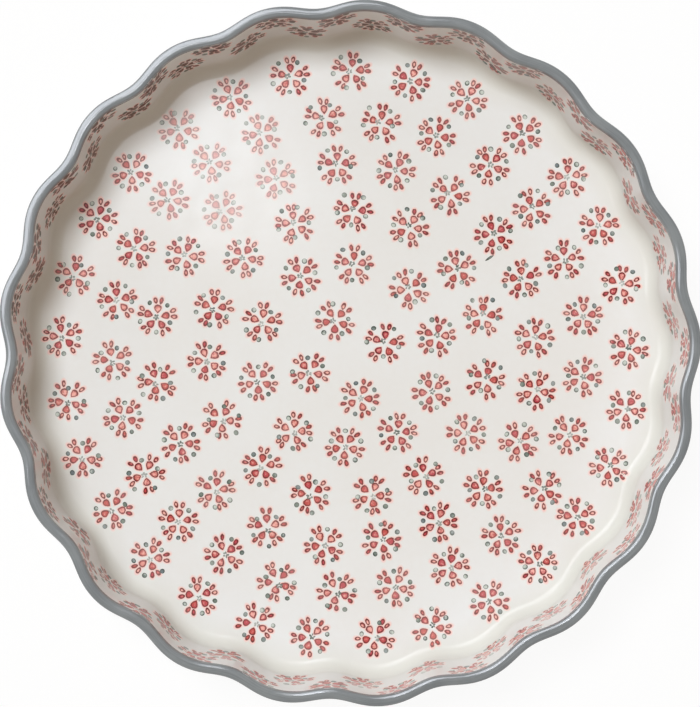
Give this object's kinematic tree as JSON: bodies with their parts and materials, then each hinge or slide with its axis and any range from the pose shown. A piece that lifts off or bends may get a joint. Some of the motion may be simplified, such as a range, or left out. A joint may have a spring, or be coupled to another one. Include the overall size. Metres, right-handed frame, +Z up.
{
  "type": "quiche dish",
  "caption": "Round, shallow stoneware baking dish with a fluted upright wall, cream glaze inside and out, a grey glazed rim and a bare foot ring.",
  "frame": {"origin": "centre of the foot ring, on the surface that the dish stands on", "axes": "+Z up along the axis of the dish, towards its open side; +X through a crest of the flutes"},
  "size_m": [0.2818, 0.2824, 0.042],
  "materials": {
    "bare_clay": "fired, unglazed",
    "cream_glaze": "gloss glaze over a stamped pattern",
    "grey_glaze": "gloss glaze"
  },
  "bodies": {
    "root": {"stoneware_body": "bare_clay", "inside_glaze": "cream_glaze", "rim_glaze": "grey_glaze", "outside_glaze": "cream_glaze", "underside_glaze": "cream_glaze"}
  },
  "joints": []
}
